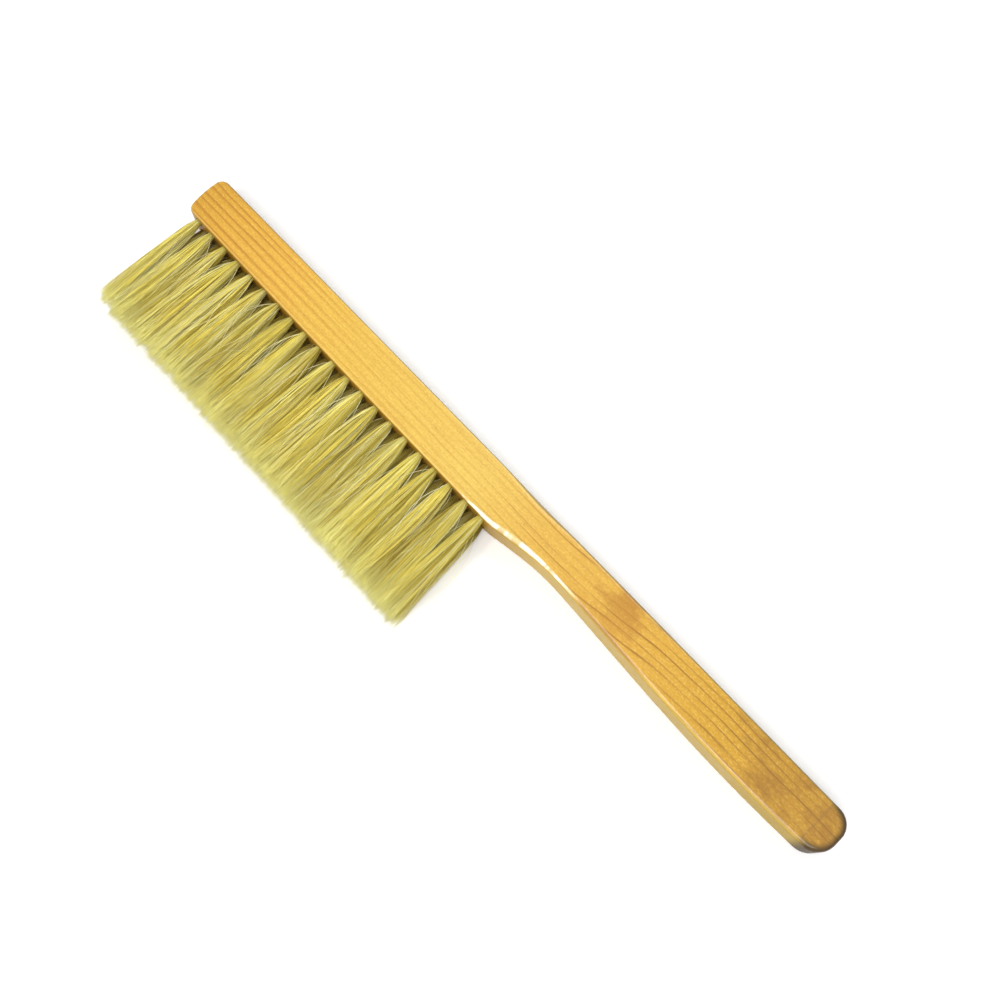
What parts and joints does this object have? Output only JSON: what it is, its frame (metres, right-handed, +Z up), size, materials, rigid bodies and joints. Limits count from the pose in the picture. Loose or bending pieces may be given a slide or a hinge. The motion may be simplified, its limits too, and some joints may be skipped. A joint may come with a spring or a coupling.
{
  "type": "bee brush",
  "caption": "Long, slim wooden brush with three rows of soft bristle along one edge, for sweeping bees off combs and frames.",
  "frame": {"origin": "on the broad face that the brush lies on, half way along the stock and on the head's centreline", "axes": "+X along the stock from the head's free end to the handle's end, -Y the way the bristles point, +Z up out of the other broad face"},
  "size_m": [0.4002, 0.0824, 0.0201],
  "materials": {
    "stock_wood": "satin",
    "bristle": "matte",
    "anchor_wire": "satin"
  },
  "bodies": {
    "root": {"bottom_anchors": "anchor_wire", "bottom_tuft_01": "bristle", "bottom_tuft_02": "bristle", "bottom_tuft_03": "bristle", "bottom_tuft_04": "bristle", "bottom_tuft_05": "bristle", "bottom_tuft_06": "bristle", "bottom_tuft_07": "bristle", "bottom_tuft_08": "bristle", "bottom_tuft_09": "bristle", "bottom_tuft_10": "bristle", "bottom_tuft_11": "bristle", "bottom_tuft_12": "bristle", "bottom_tuft_13": "bristle", "bottom_tuft_14": "bristle", "bottom_tuft_15": "bristle", "bottom_tuft_16": "bristle", "bottom_tuft_17": "bristle", "bottom_tuft_18": "bristle", "bottom_tuft_19": "bristle", "bottom_tuft_20": "bristle", "bottom_tuft_21": "bristle", "middle_anchors": "anchor_wire", "middle_tufts_01_02": "bristle", "middle_tufts_03_04": "bristle", "middle_tufts_05_06": "bristle", "middle_tufts_07_08": "bristle", "middle_tufts_09_10": "bristle", "middle_tufts_11_12": "bristle", "middle_tufts_13_14": "bristle", "middle_tufts_15_16": "bristle", "middle_tufts_17_18": "bristle", "middle_tufts_19_20": "bristle", "stock": "stock_wood", "top_anchors": "anchor_wire", "top_tuft_01": "bristle", "top_tuft_02": "bristle", "top_tuft_03": "bristle", "top_tuft_04": "bristle", "top_tuft_05": "bristle", "top_tuft_06": "bristle", "top_tuft_07": "bristle", "top_tuft_08": "bristle", "top_tuft_09": "bristle", "top_tuft_10": "bristle", "top_tuft_11": "bristle", "top_tuft_12": "bristle", "top_tuft_13": "bristle", "top_tuft_14": "bristle", "top_tuft_15": "bristle", "top_tuft_16": "bristle", "top_tuft_17": "bristle", "top_tuft_18": "bristle", "top_tuft_19": "bristle", "top_tuft_20": "bristle", "top_tuft_21": "bristle"}
  },
  "joints": []
}
